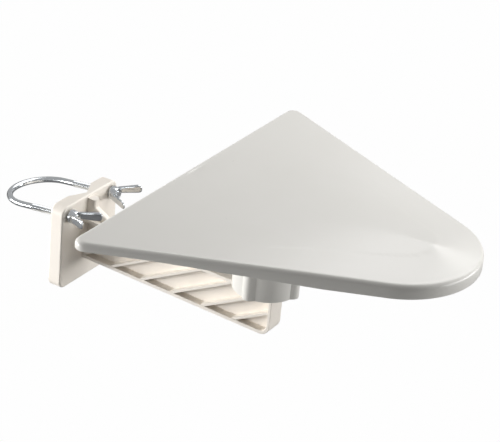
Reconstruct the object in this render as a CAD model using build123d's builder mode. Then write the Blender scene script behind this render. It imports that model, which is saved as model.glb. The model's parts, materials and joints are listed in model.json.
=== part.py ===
"""Housed log-periodic television antenna with its mast bracket, U-bolt and wing nuts.

Frame: +Z up, +X forwards (towards the transmitter). The origin is on the centreline of the
thickest mast that the clamp takes, at the height of the two bolt holes. Millimetres.
"""

import os
from math import atan, cos, pi, radians, sin, sqrt, tan

from build123d import *

os.makedirs("parts", exist_ok=True)

# ---------------------------------------------------------------- driving dimensions
# Mast clamp
bolt_spacing = 60.0  # between the two legs of the U-bolt
thread_radius = 3.0  # M6
shank_radius = 2.7  # rolled thread: the plain shank is thinner than the thread
bolt_hole_radius = 4.0
bolt_droop = 6.9  # degrees by which the loose U-bolt hangs down at its bend
arch_distance = 44.1  # from the middle of the plate back to the centre of the bend
leg_end = 16.0  # from the middle of the plate forwards to the ends of the legs
thread_length = 50.0

# Wing nuts
nut_gap = 1.8  # thread showing between the plate and each loose nut
nut_boss_height = 7.0
nut_base_radius = 6.3
nut_top_radius = 5.0
nut_bore_radius = 3.05
wing_height = 23.0
wing_reach = 15.5
wing_root = 3.4
wing_foot = 0.8
wing_width = 8.0
wing_thickness = 2.6
left_nut_turn = 13.0  # degrees from level at which each nut was left
right_nut_turn = -5.7

# Bracket plate and jaw
plate_rear = 18.65
plate_thickness = 13.25
plate_half_width = 40.1
plate_top = 10.4
plate_bottom = -69.0
plate_corner = 8.0
plate_edge = 1.6
jaw_half_width = 19.0
jaw_depth = 9.0

# Bracket arm, an I-beam with slanting ribs
arm_end = 226.1
arm_half_width = 9.1
arm_top_root = -9.7
arm_bottom_root = -48.4
arm_slope = 2.15  # degrees by which both flanges fall towards the front
flange = 3.1
web = 3.0
arm_edge = 0.5
end_radius = 9.4
rib_start = 33.0
rib_pitch = 31.5
rib_count = 6
rib_slant = 28.0
rib_thickness = 2.2
gusset_width = 8.0
gusset_reach = 7.7
gusset_foot = 30.0
gusset_drop = 3.0  # from the plate's top to the gusset's front corner
gusset_round = 2.8
rib_length = 160.0  # before it is trimmed to the arm's outline
rib_setback = 0.6  # ribs stand this far inside the flange edges
arm_overlap = 4.0  # how far the arm's root is sunk into the plate

# Housing
rear_edge = 130.3
rear_width = 340.0
nose_tip = 396.6
nose_radius = 72.0
side_angle = 24.8  # degrees between a side and the centreline where it meets the nose
corner_radius = 8.5
rim_top = 68.0
rim_bottom_rear = 60.0
rim_bottom_nose = 55.2
rim_step_start = 190.0
rim_step_end = 310.0
wall = 2.5

# Flat crest along the middle of the roof, which climbs towards the nose
crest_tip = 362.0
crest_height = 8.7
crest_radius = 7.0  # of its round front end
crest_rear = 136.3
crest_rear_half = 20.0
crest_side_angle = 3.4
crest_corner = 5.0

# Cover tray under the housing
cover_gap = 0.3
cover_face = 64.0
tray_inset = 9.0
tray_floor = 50.0
tray_taper = 50.0
gasket_inset = 3.2
gasket_width = 2.6
drain_radius = 2.0
drain_places = ((160.0, 60.0), (330.0, 18.0))
shell_boss_radius = 4.0
pedestal_radius = 3.5

# Post that carries the housing on the arm
post_x = 213.4
post_bottom = -14.6
seat_start = 192.0
post_half_side = 24.0
post_corner = 5.5
post_radius = 28.3
post_wall = 3.0
post_flat_depth = 0.9  # the post's rear edge is cut back by this for the socket
spigot_length = 22.0
spigot_width = 15.0
spigot_height = 13.6
spigot_gap = 0.15
collar_wall = 3.0
retainer_thickness = 2.5
arm_screw_spread = 12.0

# Antenna inside the housing
element_count = 10
scaling = 0.87  # each element is this fraction of the one behind it
rear_element = 156.5
side_clearance = 25.0  # from the housing's edge to the element tips
element_width = 6.0
boom_width = 14.0
boom_rear = 151.5
boom_front = 368.0
sheet = 1.0
lower_array_z = 57.5
upper_array_z = 63.5
spacer_places = (175.0, 266.0, 354.0)
spacer_size = 9.0
bridge_length = 4.0
cable_radius = 1.5
cable_y = 5.3
cable_z = 55.6
cable_front = 362.3
cable_bend_x = 222.0
clip_places = (247.0, 290.0, 336.0)
clip_width = 5.4
clip_length = 5.0
wire_radius = 0.5
wire_bend = 1.4
wire_inset = 2.2  # from the boom's front end to the wire
wire_hole_radius = 0.6
wire_end = 0.6  # height of the wire's end above the upper array
clamp_length = 3.6
clamp_wall = 0.6
clamp_foot_width = 7.6

# Coaxial socket on the back of the post
socket_z = 24.0
socket_thread_radius = 4.76
socket_thread_length = 10.0  # outside, for the plug
socket_tail = 1.0  # of thread past the nut inside the post
socket_bore_radius = 3.6
socket_flange = 13.0  # across the flats of the hexagonal flange outside
socket_flange_thickness = 3.0
socket_pad_half = 10.0
nut_across_flats = 12.7
socket_nut_height = 2.4
washer_radius = 7.0
washer_thickness = 0.8
contact_radius = 1.1
contact_tail_radius = 0.6
contact_tail = 6.0
contact_socket_radius = 0.5
contact_socket_depth = 7.0
socket_recess = 0.4  # of the insulator behind the thread's end, and again of the contact
socket_pocket = 15.6  # square pocket for the nut inside the post
thread_chamfer = 0.5

# Fasteners
cover_screw_places = ((175.0, 104.0), (240.0, 76.0), (308.5, 44.0))
cover_screw_radius = 1.5
array_screw_radius = 1.5
arm_screw_radius = 2.0
screw_fit = 0.05
clear_fit = 0.2  # round a screw where it passes freely
cover_screw_length = 12.0
cover_head_radius = 2.9
cover_head_height = 2.0
array_head_radius = 2.7
array_head_height = 1.6
arm_screw_length = 14.0
arm_head_radius = 3.7
arm_head_height = 2.4
bolt_end_chamfer = 0.7

# ---------------------------------------------------------------- derived values
plate_front = plate_rear + plate_thickness
plate_middle = plate_rear + plate_thickness / 2
leg_y = bolt_spacing / 2
droop = radians(bolt_droop)
half_width = rear_width / 2
nose_centre = nose_tip - nose_radius
nose_side = (
    nose_centre + nose_radius * sin(radians(side_angle)),
    nose_radius * cos(radians(side_angle)),
)
side_slope = (half_width - nose_side[1]) / (nose_side[0] - rear_edge)
side_length = sqrt(1 + side_slope**2)
crest_pitch = atan(crest_height / (crest_tip - rear_edge))
tray_inner_floor = tray_floor + wall
tray_run = (cover_face - wall - tray_floor) * tan(radians(tray_taper))
spigot_top = post_bottom + spigot_height
collar_top = spigot_top + spigot_gap
post_inner_radius = post_radius - wall
socket_outer = post_x - post_half_side * sqrt(2) + post_flat_depth
flange_face = socket_outer - socket_flange_thickness
socket_mouth = flange_face - socket_thread_length
wire_x = boom_front - wire_inset
arm_root = plate_front - arm_overlap
socket_inner = socket_outer + post_wall
socket_back = socket_inner + washer_thickness + socket_nut_height + socket_tail
upper_face = upper_array_z + sheet
array_gap = upper_array_z - lower_array_z - sheet

# The two legs lie in a plane that tips with the hanging U-bolt
bolt_plane = Plane(
    origin=(plate_middle, 0, 0),
    x_dir=(cos(droop), 0, sin(droop)),
    z_dir=(-sin(droop), 0, cos(droop)),
)
nut_seat = plate_thickness / 2 / cos(droop) + nut_gap


def leg_plane(side, along, turn=0.0):
    """Plane across one leg, its normal pointing forwards along the leg."""
    place = bolt_plane.location * Location((along, side * leg_y, 0))
    level = Vector(0, cos(radians(turn)), sin(radians(turn)))
    forward = Vector(cos(droop), 0, sin(droop))
    return Plane(origin=place.position, x_dir=level - forward * level.dot(forward), z_dir=forward)


def outline(inset):
    """The housing's outline seen from above, drawn inset from its edge."""
    rear = rear_edge + inset
    edge = half_width - inset * (side_length + side_slope)
    radius = nose_radius - inset
    side = (
        nose_centre + radius * sin(radians(side_angle)),
        radius * cos(radians(side_angle)),
    )
    back = (-cos(radians(side_angle)), sin(radians(side_angle)))
    with BuildSketch(mode=Mode.PRIVATE) as shape:
        with BuildLine():
            left = TangentArc(side, (rear, edge), tangent=back)
            Line((rear, edge), (rear, -edge))
            mirror(left, about=Plane.XZ)
            ThreePointArc(side, (nose_centre + radius, 0), (side[0], -side[1]))
        make_face()
        fillet(shape.vertices().group_by(Axis.X)[0], radius=max(corner_radius - inset, 3.0))
    return shape.sketch


def crest_outline():
    """The narrow crest, wider at the rear and round at its tip."""
    centre = crest_tip - crest_radius
    angle = radians(crest_side_angle)
    side = (centre + crest_radius * sin(angle), crest_radius * cos(angle))
    with BuildSketch(mode=Mode.PRIVATE) as shape:
        with BuildLine():
            left = Line(side, (crest_rear, crest_rear_half))
            Line((crest_rear, crest_rear_half), (crest_rear, -crest_rear_half))
            mirror(left, about=Plane.XZ)
            ThreePointArc(side, (crest_tip, 0), (side[0], -side[1]))
        make_face()
        fillet(shape.vertices().group_by(Axis.X)[0], radius=crest_corner)
    return shape.sketch


def crest_plane(drop):
    """Tilted plane of the crest, lowered by the given amount."""
    return Plane(
        origin=(0, 0, rim_top - drop - rear_edge * tan(crest_pitch)),
        x_dir=(cos(crest_pitch), 0, sin(crest_pitch)),
        z_dir=(-sin(crest_pitch), 0, cos(crest_pitch)),
    )


def finish(part, name):
    """Name the piece and write its file."""
    part.label = name
    export_step(part, f"parts/{name}.step")


def mirrored(places):
    """The given places and the same places across the centreline."""
    return [(x, y * side) for x, y in places for side in (1, -1)]


# ---------------------------------------------------------------- top shell
with BuildPart() as top_shell:
    with BuildSketch(Plane.XY.offset(rim_bottom_nose)):
        add(outline(0))
    extrude(amount=rim_top - rim_bottom_nose)
    with BuildSketch(Plane.XY.offset(rim_top)):
        add(outline(0))
    with BuildSketch(crest_plane(0)):
        add(crest_outline())
    loft(ruled=True)
    # Hollow inside, with a level ledge round the rim for the gasket
    with BuildSketch(Plane.XY.offset(rim_bottom_nose)):
        add(outline(wall))
    extrude(amount=rim_top - wall - rim_bottom_nose, mode=Mode.SUBTRACT)
    with BuildSketch(Plane.XY.offset(rim_top - wall)):
        add(outline(tray_inset))
    with BuildSketch(crest_plane(wall)):
        add(crest_outline())
    loft(ruled=True, mode=Mode.SUBTRACT)
    # The rim is shallower at the rear than at the nose
    with BuildSketch(Plane.XZ.offset(-half_width)):
        with BuildLine():
            Polyline(
                (rear_edge, rim_bottom_rear),
                (rim_step_start, rim_bottom_rear),
                (rim_step_end, rim_bottom_nose),
                (rear_edge, rim_bottom_nose),
                close=True,
            )
        make_face()
    extrude(amount=rear_width, mode=Mode.SUBTRACT)
    # Bosses for the cover screws, from the roof down to the tray's floor
    with BuildSketch(Plane.XY.offset(tray_inner_floor)):
        with Locations(*mirrored(cover_screw_places)):
            Circle(shell_boss_radius)
            Circle(cover_screw_radius + screw_fit, mode=Mode.SUBTRACT)
    extrude(until=Until.NEXT)
finish(top_shell.part, "top_shell")

# ---------------------------------------------------------------- bottom cover with its post
with BuildPart() as bottom_cover:
    with BuildSketch(Plane.XY.offset(cover_face - wall)):
        add(outline(wall + cover_gap))
    extrude(amount=wall)
    with BuildSketch(Plane.XY.offset(cover_face - wall)):
        add(outline(tray_inset))
    with BuildSketch(Plane.XY.offset(tray_floor)):
        add(outline(tray_inset + tray_run))
    loft(ruled=True)
    # The post: a round column inside a square one that stands on its corner
    with BuildSketch(Plane.XY.offset(post_bottom)):
        with Locations((post_x, 0)):
            RectangleRounded(2 * post_half_side, 2 * post_half_side, post_corner, rotation=45)
            Circle(post_radius)
    extrude(amount=tray_inner_floor - post_bottom)
    # A flat pad on its back for the socket
    with BuildSketch(Plane.YZ.offset(socket_outer)):
        with Locations((0, socket_z)):
            Rectangle(2 * socket_pad_half, 2 * socket_pad_half)
    extrude(amount=post_radius / 2)
    # Inside of the tray and of the post
    with BuildSketch(Plane.XY.offset(cover_face)):
        add(outline(tray_inset + wall))
    with BuildSketch(Plane.XY.offset(tray_inner_floor)):
        add(outline(tray_inset + wall + tray_run))
    loft(ruled=True, mode=Mode.SUBTRACT)
    with BuildSketch(Plane.XY.offset(post_bottom + post_wall)):
        with Locations((post_x, 0)):
            Circle(post_inner_radius)
    extrude(amount=tray_inner_floor - post_bottom - post_wall, mode=Mode.SUBTRACT)
    with BuildSketch(Plane.YZ.offset(socket_inner)):
        with Locations((0, socket_z)):
            Rectangle(socket_pocket, socket_pocket)
    extrude(amount=post_radius / 2, mode=Mode.SUBTRACT)
    with BuildSketch(Plane.YZ.offset(socket_outer)):
        with Locations((0, socket_z)):
            Circle(socket_thread_radius + screw_fit)
    extrude(amount=post_wall, mode=Mode.SUBTRACT)
    # Collar round the spigot of the arm
    with BuildSketch(Plane.XY.offset(post_bottom)):
        with Locations((post_x, 0)):
            Rectangle(spigot_length + 2 * collar_wall, spigot_width + 2 * collar_wall)
    extrude(amount=collar_top - post_bottom)
    with BuildSketch(Plane.XY.offset(post_bottom)):
        with Locations((post_x, 0)):
            Rectangle(spigot_length + 2 * spigot_gap, spigot_width + 2 * spigot_gap)
    extrude(amount=collar_top - post_bottom, mode=Mode.SUBTRACT)
    # Pedestals under the lower array
    with BuildSketch(Plane.XY.offset(tray_inner_floor)):
        with Locations(*[(x, 0) for x in spacer_places]):
            Circle(pedestal_radius)
            Circle(array_screw_radius + screw_fit, mode=Mode.SUBTRACT)
    extrude(amount=lower_array_z - tray_inner_floor)
    # Holes for the cover screws, and drain holes in the floor
    with BuildSketch(Plane.XY.offset(tray_floor)):
        with Locations(*mirrored(cover_screw_places)):
            Circle(cover_screw_radius + clear_fit)
        with Locations(*mirrored(drain_places)):
            Circle(drain_radius)
    extrude(amount=wall, mode=Mode.SUBTRACT)
finish(bottom_cover.part, "bottom_cover")

# ---------------------------------------------------------------- gasket
with BuildPart() as cover_gasket:
    with BuildSketch(Plane.XY.offset(cover_face)):
        add(outline(gasket_inset))
        add(outline(gasket_inset + gasket_width), mode=Mode.SUBTRACT)
    extrude(amount=rim_top - wall - cover_face)
finish(cover_gasket.part, "cover_gasket")

# ---------------------------------------------------------------- cover screws
with BuildPart() as cover_screws:
    with BuildSketch(Plane.XY.offset(tray_floor)):
        with Locations(*mirrored(cover_screw_places)):
            Circle(cover_head_radius)
    extrude(amount=-cover_head_height)
    fillet(cover_screws.faces().filter_by(Axis.Z).group_by(Axis.Z)[0].edges(), radius=0.8)
    with BuildSketch(Plane.XY.offset(tray_floor)):
        with Locations(*mirrored(cover_screw_places)):
            Circle(cover_screw_radius)
    extrude(amount=cover_screw_length)
finish(cover_screws.part, "cover_screws")

# ---------------------------------------------------------------- log-periodic arrays
apex = rear_edge + (half_width - side_clearance) / side_slope
element_x = [apex - (apex - rear_element) * scaling**n for n in range(element_count)]


def half_array(height, first_side, front):
    """One boom strip with every other half element on each side, cut from sheet."""
    with BuildPart(mode=Mode.PRIVATE) as array:
        with BuildSketch(Plane.XY.offset(height)) as blank:
            with Locations(((boom_rear + front) / 2, 0)):
                Rectangle(front - boom_rear, boom_width)
            for n, x in enumerate(element_x):
                side = first_side * (-1) ** n
                reach = (apex - x) * side_slope
                with Locations((x, side * reach / 2)):
                    Rectangle(element_width, reach)
            tips = blank.vertices().filter_by(lambda v: abs(v.Y) > boom_width)
            fillet(tips, radius=element_width / 2 - 0.2)
            with Locations(*[(x, 0) for x in spacer_places]):
                Circle(array_screw_radius + clear_fit, mode=Mode.SUBTRACT)
        extrude(amount=sheet)
    return array.part


with BuildPart() as upper_array:
    add(half_array(upper_array_z, 1, boom_front))
    with BuildSketch(Plane.XY.offset(upper_array_z)):
        with Locations((wire_x, cable_y)):
            Circle(wire_hole_radius)
    extrude(amount=sheet, mode=Mode.SUBTRACT)
finish(upper_array.part, "upper_array")

with BuildPart() as lower_array:
    add(half_array(lower_array_z, -1, element_x[-1] + element_width / 2))
finish(lower_array.part, "lower_array")

# Insulating spacers between the strips, and the short across their rear ends
with BuildPart() as boom_spacers:
    with BuildSketch(Plane.XY.offset(lower_array_z + sheet)):
        with Locations(*[(x, 0) for x in spacer_places]):
            RectangleRounded(spacer_size, boom_width, 1.5)
            Circle(array_screw_radius + screw_fit, mode=Mode.SUBTRACT)
    extrude(amount=array_gap)
finish(boom_spacers.part, "boom_spacers")

with BuildPart() as shorting_bridge:
    with BuildSketch(Plane.XY.offset(lower_array_z + sheet)):
        with Locations((boom_rear + bridge_length / 2, 0)):
            RectangleRounded(bridge_length, boom_width, 1.0)
    extrude(amount=array_gap)
finish(shorting_bridge.part, "shorting_bridge")

with BuildPart() as array_screws:
    with BuildSketch(Plane.XY.offset(upper_face)):
        with Locations(*[(x, 0) for x in spacer_places]):
            Circle(array_head_radius)
    extrude(amount=array_head_height)
    fillet(array_screws.faces().filter_by(Axis.Z).group_by(Axis.Z)[-1].edges(), radius=0.7)
    with BuildSketch(Plane.XY.offset(upper_face)):
        with Locations(*[(x, 0) for x in spacer_places]):
            Circle(array_screw_radius)
    extrude(amount=-(upper_face - tray_inner_floor))
finish(array_screws.part, "array_screws")

# ---------------------------------------------------------------- feed cable
tail_end = socket_back + contact_tail
cable_route = [
    (cable_front, cable_y, cable_z),
    (cable_bend_x, cable_y, cable_z),
    (cable_bend_x, 0, socket_z),
    (tail_end, 0, socket_z),
]
drop_run = (Vector(*cable_route[2]) - Vector(*cable_route[1])).length
cable_radii = [0.45 * drop_run, 0.45 * (cable_bend_x - tail_end)]
with BuildPart() as feed_cable:
    with BuildLine():
        cable_line = FilletPolyline(*cable_route, radius=cable_radii)
    with BuildSketch(Plane(origin=cable_route[0], z_dir=(-1, 0, 0))):
        Circle(cable_radius)
    sweep()
finish(feed_cable.part, "feed_cable")
cable_length = cable_line.length
cable_section = pi * cable_radius**2
print("feed cable length", round(cable_length, 1), "radii", [round(r, 1) for r in cable_radii])
print("feed cable volume ratio", feed_cable.part.volume / (cable_section * cable_length))

with BuildPart() as feed_wire:
    with BuildLine():
        FilletPolyline(
            (cable_front, cable_y, cable_z),
            (wire_x, cable_y, cable_z),
            (wire_x, cable_y, upper_face + wire_end),
            radius=wire_bend,
        )
    with BuildSketch(Plane(origin=(cable_front, cable_y, cable_z), z_dir=(1, 0, 0))):
        Circle(wire_radius)
    sweep()
finish(feed_wire.part, "feed_wire")

with BuildPart() as braid_clamp:
    with BuildSketch(Plane.YZ.offset(element_x[-1] - clamp_length / 2)):
        with Locations((cable_y, cable_z)):
            Circle(cable_radius + clamp_wall)
        with Locations((cable_y - clamp_wall, lower_array_z - clamp_wall / 2)):
            Rectangle(clamp_foot_width, clamp_wall)
        with Locations((cable_y, cable_z)):
            Circle(cable_radius, mode=Mode.SUBTRACT)
    extrude(amount=clamp_length)
    split(bisect_by=Plane.XY.offset(lower_array_z), keep=Keep.BOTTOM)
finish(braid_clamp.part, "braid_clamp")

with BuildPart() as cable_clips:
    for x in clip_places:
        with BuildSketch(Plane.YZ.offset(x - clip_length / 2)):
            with Locations((cable_y, (lower_array_z + tray_inner_floor) / 2)):
                Rectangle(clip_width, lower_array_z - tray_inner_floor)
            with Locations((cable_y, cable_z)):
                Circle(cable_radius, mode=Mode.SUBTRACT)
        extrude(amount=clip_length)
finish(cable_clips.part, "cable_clips")

# ---------------------------------------------------------------- coaxial socket
with BuildPart() as socket_body:
    with BuildSketch(Plane.YZ.offset(flange_face)):
        with Locations((0, socket_z)):
            RegularPolygon(socket_flange / 2, 6, major_radius=False)
    extrude(amount=socket_flange_thickness)
    with BuildSketch(Plane.YZ.offset(socket_mouth)):
        with Locations((0, socket_z)):
            Circle(socket_thread_radius)
    extrude(amount=socket_back - socket_mouth)
    chamfer(socket_body.edges().group_by(Axis.X)[0], length=thread_chamfer)
    with BuildSketch(Plane.YZ.offset(socket_mouth)):
        with Locations((0, socket_z)):
            Circle(socket_bore_radius)
    extrude(amount=socket_back - socket_mouth, mode=Mode.SUBTRACT)
finish(socket_body.part, "socket_body")

with BuildPart() as socket_insulator:
    with BuildSketch(Plane.YZ.offset(socket_mouth + socket_recess)):
        with Locations((0, socket_z)):
            Circle(socket_bore_radius)
            Circle(contact_radius, mode=Mode.SUBTRACT)
    extrude(amount=socket_back - socket_mouth - socket_recess)
finish(socket_insulator.part, "socket_insulator")

with BuildPart() as socket_contact:
    with BuildSketch(Plane.YZ.offset(socket_mouth + 2 * socket_recess)):
        with Locations((0, socket_z)):
            Circle(contact_radius)
    extrude(amount=socket_back - socket_mouth - 2 * socket_recess)
    with BuildSketch(Plane.YZ.offset(socket_back)):
        with Locations((0, socket_z)):
            Circle(contact_tail_radius)
    extrude(amount=contact_tail)
    with BuildSketch(Plane.YZ.offset(socket_mouth + 2 * socket_recess)):
        with Locations((0, socket_z)):
            Circle(contact_socket_radius)
    extrude(amount=contact_socket_depth, mode=Mode.SUBTRACT)
finish(socket_contact.part, "socket_contact")

with BuildPart() as socket_washer:
    with BuildSketch(Plane.YZ.offset(socket_inner)):
        with Locations((0, socket_z)):
            Circle(washer_radius)
            Circle(socket_thread_radius + screw_fit, mode=Mode.SUBTRACT)
    extrude(amount=washer_thickness)
finish(socket_washer.part, "socket_washer")

with BuildPart() as socket_nut:
    with BuildSketch(Plane.YZ.offset(socket_inner + washer_thickness)):
        with Locations((0, socket_z)):
            RegularPolygon(nut_across_flats / 2, 6, major_radius=False)
            Circle(socket_thread_radius + screw_fit, mode=Mode.SUBTRACT)
    extrude(amount=socket_nut_height)
finish(socket_nut.part, "socket_nut")

# ---------------------------------------------------------------- mast bracket

def arm_top(x):
    """Height of the top flange's upper face."""
    return arm_top_root - (x - plate_front) * tan(radians(arm_slope))


def arm_bottom(x):
    """Height of the bottom flange's lower face."""
    return arm_bottom_root - (x - plate_front) * tan(radians(arm_slope))


with BuildSketch(Plane.XZ, mode=Mode.PRIVATE) as arm_side:
    with BuildLine():
        Polyline(
            (arm_root, arm_top(arm_root)),
            (arm_end, arm_top(arm_end)),
            (arm_end, arm_bottom(arm_end)),
            (arm_root, arm_bottom(arm_root)),
            close=True,
        )
    make_face()
    front_low = arm_side.vertices().group_by(Axis.X)[-1].sort_by(Axis.Y)[0]
    fillet(front_low, radius=end_radius)

# The flange that runs all round the arm, with softened edges
with BuildPart(mode=Mode.PRIVATE) as arm_rim:
    with BuildSketch(Plane.XZ):
        add(arm_side.sketch)
        offset(arm_side.sketch, amount=-flange, mode=Mode.SUBTRACT)
    extrude(amount=arm_half_width, both=True)
    fillet(arm_rim.faces().filter_by(Axis.Y).edges(), radius=arm_edge)

with BuildPart() as mast_bracket:
    with BuildSketch(Plane.YZ.offset(plate_rear)):
        with Locations((0, (plate_top + plate_bottom) / 2)):
            RectangleRounded(2 * plate_half_width, plate_top - plate_bottom, plate_corner)
    extrude(amount=plate_thickness)
    fillet(mast_bracket.faces().filter_by(Axis.X).edges(), radius=plate_edge)
    # V-shaped jaw that beds against the mast
    with BuildSketch(Plane.XY.offset(plate_bottom)):
        with BuildLine():
            Polyline(
                (plate_rear - 1, jaw_half_width * (1 + 1 / jaw_depth)),
                (plate_rear + jaw_depth, 0),
                (plate_rear - 1, -jaw_half_width * (1 + 1 / jaw_depth)),
                close=True,
            )
        make_face()
    extrude(amount=plate_top - plate_bottom, mode=Mode.SUBTRACT)
    # Arm: web, flange all round and slanting ribs on both sides
    with BuildSketch(Plane.XZ):
        add(arm_side.sketch)
    extrude(amount=web / 2, both=True)
    add(arm_rim.part)
    with BuildSketch(Plane.XZ) as rib_sketch:
        for n in range(rib_count):
            rib_x = rib_start + n * rib_pitch
            with Locations((rib_x, arm_bottom(rib_x) + flange)):
                Rectangle(rib_length, rib_thickness, rotation=rib_slant)
        add(arm_side.sketch, mode=Mode.INTERSECT)
    extrude(amount=arm_half_width - rib_setback, both=True)
    # Gusset from the top of the plate down to the arm, with soft long edges
    with BuildPart(mode=Mode.PRIVATE) as gusset:
        with BuildSketch(Plane.XZ):
            with BuildLine():
                Polyline(
                    (arm_root, arm_top(arm_root) - flange / 2),
                    (arm_root, plate_top - plate_edge),
                    (plate_front + gusset_reach, plate_top - gusset_drop),
                    (plate_front + gusset_reach, 0),
                    (plate_front + gusset_foot, arm_top(plate_front + gusset_foot) - flange / 2),
                    close=True,
                )
            make_face()
        extrude(amount=gusset_width / 2, both=True)
        corner = plate_front + gusset_reach / 2
        long_edges = gusset.edges().filter_by(Axis.Y, reverse=True).filter_by_position(
            Axis.X, corner, rear_edge
        )
        fillet(long_edges.filter_by_position(Axis.Z, arm_top(rear_edge), plate_top), radius=gusset_round)
    add(gusset.part)
    # Level seat for the post on top of the sloping flange
    with BuildSketch(Plane.XZ):
        with BuildLine():
            Polyline(
                (seat_start, arm_top(seat_start)),
                (seat_start, post_bottom),
                (arm_end, post_bottom),
                (arm_end, arm_top(arm_end)),
                close=True,
            )
        make_face()
    extrude(amount=arm_half_width, both=True)
    # Spigot that enters the post
    with BuildSketch(Plane.XY.offset(post_bottom)):
        with Locations((post_x, 0)):
            Rectangle(spigot_length, spigot_width)
    extrude(amount=spigot_height)
    # Bolt holes and pilot holes
    with BuildSketch(Plane.YZ.offset(plate_rear)):
        with Locations((leg_y, 0), (-leg_y, 0)):
            Circle(bolt_hole_radius)
    extrude(amount=plate_thickness, mode=Mode.SUBTRACT)
    with BuildSketch(Plane.XY.offset(spigot_top)):
        with Locations((post_x, 0)):
            with GridLocations(arm_screw_spread, 1, 2, 1):
                Circle(arm_screw_radius + screw_fit)
    extrude(amount=-arm_screw_length, mode=Mode.SUBTRACT)
finish(mast_bracket.part, "mast_bracket")

with BuildPart() as arm_retainer:
    with BuildSketch(Plane.XY.offset(collar_top)):
        with Locations((post_x, 0)):
            RectangleRounded(spigot_length + 2 * collar_wall, spigot_width + 2 * collar_wall, 2.0)
            with GridLocations(arm_screw_spread, 1, 2, 1):
                Circle(arm_screw_radius + clear_fit, mode=Mode.SUBTRACT)
    extrude(amount=retainer_thickness)
finish(arm_retainer.part, "arm_retainer")

with BuildPart() as arm_screws:
    with BuildSketch(Plane.XY.offset(collar_top + retainer_thickness)):
        with Locations((post_x, 0)):
            with GridLocations(arm_screw_spread, 1, 2, 1):
                Circle(arm_head_radius)
    extrude(amount=arm_head_height)
    fillet(arm_screws.faces().filter_by(Axis.Z).group_by(Axis.Z)[-1].edges(), radius=1.1)
    with BuildSketch(Plane.XY.offset(collar_top + retainer_thickness)):
        with Locations((post_x, 0)):
            with GridLocations(arm_screw_spread, 1, 2, 1):
                Circle(arm_screw_radius)
    extrude(amount=-arm_screw_length)
finish(arm_screws.part, "arm_screws")

# ---------------------------------------------------------------- U-bolt
thread_start = leg_end - thread_length
with BuildPart() as u_bolt:
    with BuildLine(bolt_plane):
        near = Line((thread_start, -leg_y), (-arch_distance, -leg_y))
        bend = ThreePointArc(near @ 1, (-arch_distance - leg_y, 0), (-arch_distance, leg_y))
        Line(bend @ 1, (thread_start, leg_y))
    with BuildSketch(Plane(origin=near @ 0, z_dir=near % 0)):
        Circle(shank_radius)
    sweep()
    for side in (1, -1):
        with BuildSketch(leg_plane(side, thread_start)):
            Circle(thread_radius)
        extrude(amount=thread_length)
    chamfer(u_bolt.edges().group_by(Axis.X)[-1], length=bolt_end_chamfer)
finish(u_bolt.part, "u_bolt")


def wing_nut(side, turn):
    """A round boss with two broad wings that lean outwards and forwards."""
    seat = leg_plane(side, nut_seat, turn)
    blade = Plane(origin=seat.origin, x_dir=seat.x_dir, z_dir=-seat.y_dir)
    with BuildPart(mode=Mode.PRIVATE) as nut:
        with BuildSketch(seat):
            Circle(nut_base_radius)
        with BuildSketch(seat.offset(nut_boss_height)):
            Circle(nut_top_radius)
        loft()
        for hand in (1, -1):
            with BuildSketch(blade):
                with BuildLine():
                    Polyline(
                        (hand * wing_root, wing_foot),
                        (hand * (wing_root + wing_thickness), wing_foot),
                        (hand * wing_reach, wing_height - wing_thickness / 2),
                        (hand * (wing_reach - wing_thickness), wing_height),
                        close=True,
                    )
                make_face()
            extrude(amount=wing_width / 2, both=True)
        with BuildSketch(seat):
            Circle(nut_bore_radius)
        extrude(amount=wing_height, mode=Mode.SUBTRACT)
    return nut.part


with BuildPart() as wing_nut_left:
    add(wing_nut(1, left_nut_turn))
finish(wing_nut_left.part, "wing_nut_left")

with BuildPart() as wing_nut_right:
    add(wing_nut(-1, right_nut_turn))
finish(wing_nut_right.part, "wing_nut_right")
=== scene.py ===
# %% [markdown]
# # A housed television antenna on its mast clamp
#
# The real object is a log-periodic antenna sealed in a flat white plastic housing. A post
# under the housing stands on a ribbed arm, and the arm grows out of a plate that a U-bolt
# and two wing nuts pull against a mast. The exact shapes come in as a fixed frame from the
# CAD model. This script gives them their finishes and replaces the four kinds of piece
# whose shape is softer or finer than the CAD solids: the roof, the threaded U-bolt, the
# wing nuts and the cross-headed screws of the cover.

# %% Load the frame and keep its box
import json
from math import atan2, cos, hypot, pi, radians, sin, tan

import bmesh
import bpy
import numpy as np
from mathutils import Matrix, Vector


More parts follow.
